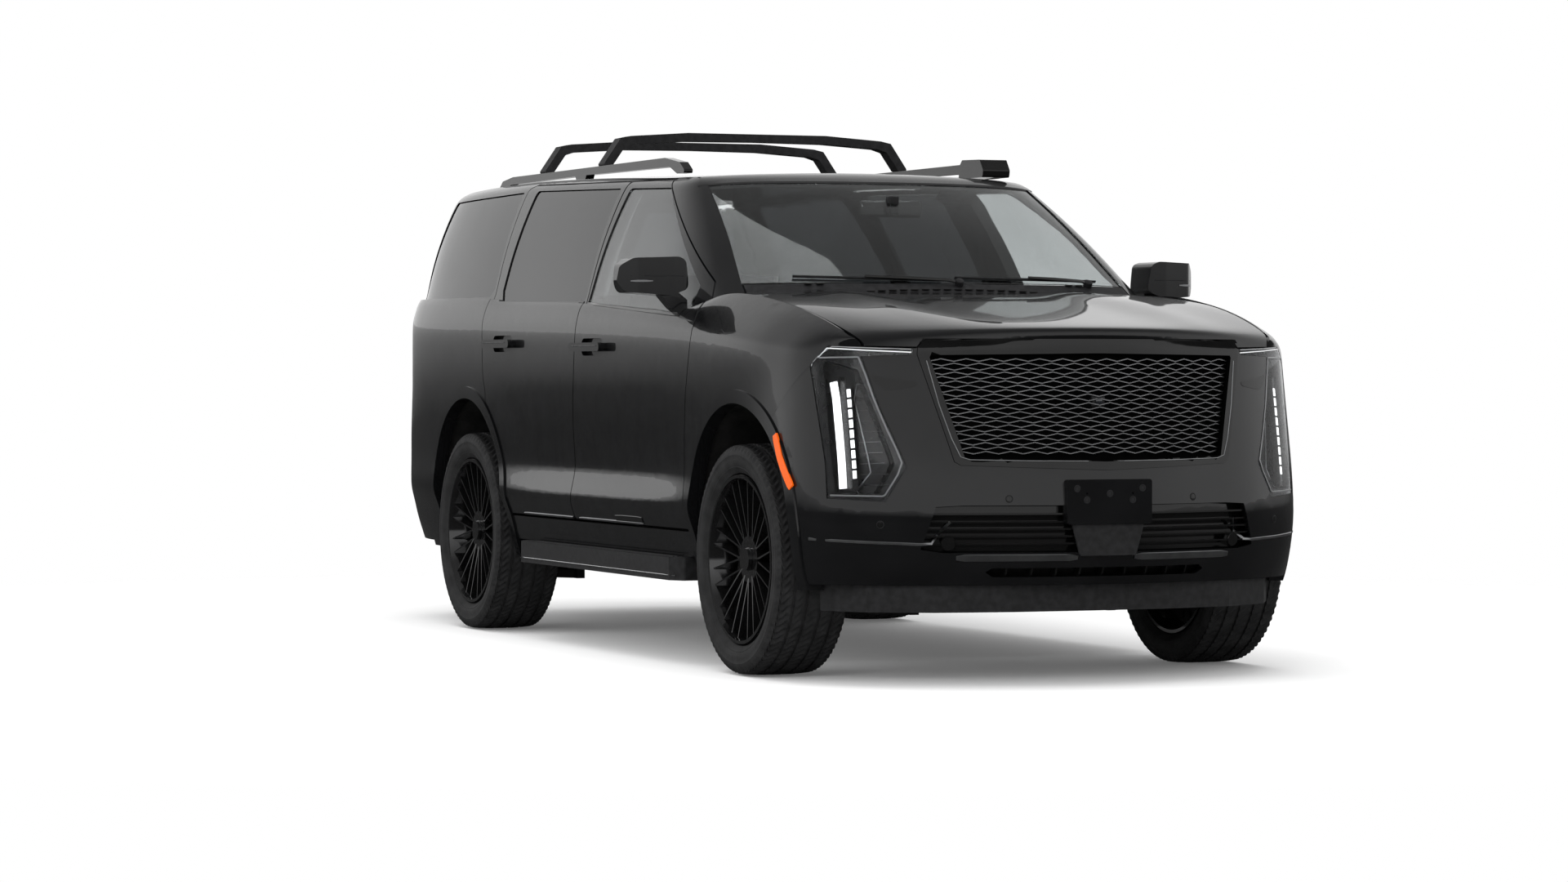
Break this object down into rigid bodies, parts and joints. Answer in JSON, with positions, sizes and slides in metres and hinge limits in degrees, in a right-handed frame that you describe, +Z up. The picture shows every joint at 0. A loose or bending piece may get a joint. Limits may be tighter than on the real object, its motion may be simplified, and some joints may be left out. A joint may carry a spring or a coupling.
{
  "type": "full-size luxury sport utility vehicle",
  "caption": "Full-size black luxury SUV with a wide upright grille, vertical lamps, large multi-spoke wheels, roof rails with crossbars, side steps and opening doors, hood and liftgate.",
  "frame": {"origin": "middle of the bounding box's bottom face, on the ground between the axles", "axes": "+X forward, +Y to the vehicle's left, +Z up"},
  "size_m": [5.3772, 2.4124, 2.0847],
  "materials": {
    "paint_black": "gloss black clear-coated paint",
    "trim_black": "gloss black trim",
    "plastic_black": "grained black plastic",
    "glass_front": "clear laminated glass",
    "glass_dark": "dark privacy glass",
    "lamp_lens": "clear lens",
    "lamp_red": "red lens",
    "alloy_black": "gloss black alloy",
    "steel_dark": "dark coated steel",
    "iron": "bare cast iron",
    "exhaust_steel": "stainless steel",
    "rail_metal": "black anodised",
    "tyre_rubber": "black rubber",
    "seat_leather": "dark leather",
    "carpet": "painted floor under carpet",
    "dash_soft": "soft-touch dark"
  },
  "bodies": {
    "vehicle": {"body_side": "paint_black", "floor_pan": "carpet", "wheel_liners": "plastic_black", "fenders": "paint_black", "front_bumper": "paint_black", "rear_bumper": "paint_black", "arch_lips": "paint_black", "grille": "trim_black", "headlamps": "trim_black", "lamp_lenses": "lamp_lens", "intake": "plastic_black", "roof_pod": "trim_black", "tail_lamps": "lamp_red", "windshield": "glass_front", "quarter_glass": "glass_dark", "cowl": "plastic_black", "roof_panel": "paint_black", "roof_rails": "rail_metal", "cross_bars": "rail_metal", "chassis_frame": "steel_dark", "engine": "iron", "driveline": "iron", "exhaust": "exhaust_steel", "fuel_tank": "plastic_black", "front_suspension": "steel_dark", "rear_suspension": "steel_dark", "running_boards": "plastic_black", "air_dam": "plastic_black", "dashboard": "dash_soft", "front_seats": "seat_leather", "middle_seats": "seat_leather", "rear_bench": "seat_leather"},
    "door_front_right": {"door_fr": "paint_black", "glass_fr": "glass_front", "mirror_fr": "paint_black"},
    "door_front_left": {"door_fl": "paint_black", "glass_fl": "glass_front", "mirror_fl": "paint_black"},
    "door_rear_right": {"door_rr": "paint_black", "glass_rr": "glass_dark"},
    "door_rear_left": {"door_rl": "paint_black", "glass_rl": "glass_dark"},
    "liftgate": {"liftgate": "paint_black", "liftgate_glass": "glass_dark"},
    "hood": {"hood": "paint_black"},
    "steering_wheel": {"steering_wheel": "seat_leather"},
    "knuckle_right": {"knuckle_fr": "iron"},
    "knuckle_left": {"knuckle_fl": "iron"},
    "wheel_front_right": {"wheel_fr": "alloy_black", "tyre_fr": "tyre_rubber"},
    "wheel_front_left": {"wheel_fl": "alloy_black", "tyre_fl": "tyre_rubber"},
    "wheel_rear_right": {"wheel_rr": "alloy_black", "tyre_rr": "tyre_rubber"},
    "wheel_rear_left": {"wheel_rl": "alloy_black", "tyre_rl": "tyre_rubber"}
  },
  "joints": [
    {"name": "steer_right", "type": "hinge", "parent": "vehicle", "child": "knuckle_right", "pos_m": [1.706, -0.809, 0.419], "axis": [0, 0, 1], "range_deg": [-32, 32]},
    {"name": "spin_front_right", "type": "hinge", "parent": "knuckle_right", "child": "wheel_front_right", "pos_m": [1.706, -0.869, 0.419], "axis": [0, 1, 0], "continuous": true},
    {"name": "spin_rear_right", "type": "hinge", "parent": "vehicle", "child": "wheel_rear_right", "pos_m": [-1.365, -0.869, 0.419], "axis": [0, 1, 0], "continuous": true},
    {"name": "open_front_right", "type": "hinge", "parent": "vehicle", "child": "door_front_right", "pos_m": [1.2775, -1.0235, 0.9], "axis": [0, 0, 1], "range_deg": [0, 65]},
    {"name": "open_rear_right", "type": "hinge", "parent": "vehicle", "child": "door_rear_right", "pos_m": [0.0145, -1.0235, 0.9], "axis": [0, 0, 1], "range_deg": [0, 70]},
    {"name": "steer_left", "type": "hinge", "parent": "vehicle", "child": "knuckle_left", "pos_m": [1.706, 0.809, 0.419], "axis": [0, 0, 1], "range_deg": [-32, 32]},
    {"name": "spin_front_left", "type": "hinge", "parent": "knuckle_left", "child": "wheel_front_left", "pos_m": [1.706, 0.869, 0.419], "axis": [0, 1, 0], "continuous": true},
    {"name": "spin_rear_left", "type": "hinge", "parent": "vehicle", "child": "wheel_rear_left", "pos_m": [-1.365, 0.869, 0.419], "axis": [0, 1, 0], "continuous": true},
    {"name": "open_front_left", "type": "hinge", "parent": "vehicle", "child": "door_front_left", "pos_m": [1.2775, 1.0235, 0.9], "axis": [0, 0, -1], "range_deg": [0, 65]},
    {"name": "open_rear_left", "type": "hinge", "parent": "vehicle", "child": "door_rear_left", "pos_m": [0.0145, 1.0235, 0.9], "axis": [0, 0, -1], "range_deg": [0, 70]},
    {"name": "open_liftgate", "type": "hinge", "parent": "vehicle", "child": "liftgate", "pos_m": [-2.5405, 0, 1.905], "axis": [0, 1, 0], "range_deg": [0, 85]},
    {"name": "open_hood", "type": "hinge", "parent": "vehicle", "child": "hood", "pos_m": [1.311, 0, 1.404], "axis": [0, -1, 0], "range_deg": [0, 50]},
    {"name": "steering_wheel_turn", "type": "hinge", "parent": "vehicle", "child": "steering_wheel", "pos_m": [0.76693, 0.40685, 1.23698], "axis": [-0.9135, 0, 0.4067], "range_deg": [-480, 480]}
  ],
  "couplings": [
    {"joint": "steer_left", "follows": "steer_right", "ratio": 1},
    {"joint": "steering_wheel_turn", "follows": "steer_right", "ratio": 15}
  ]
}
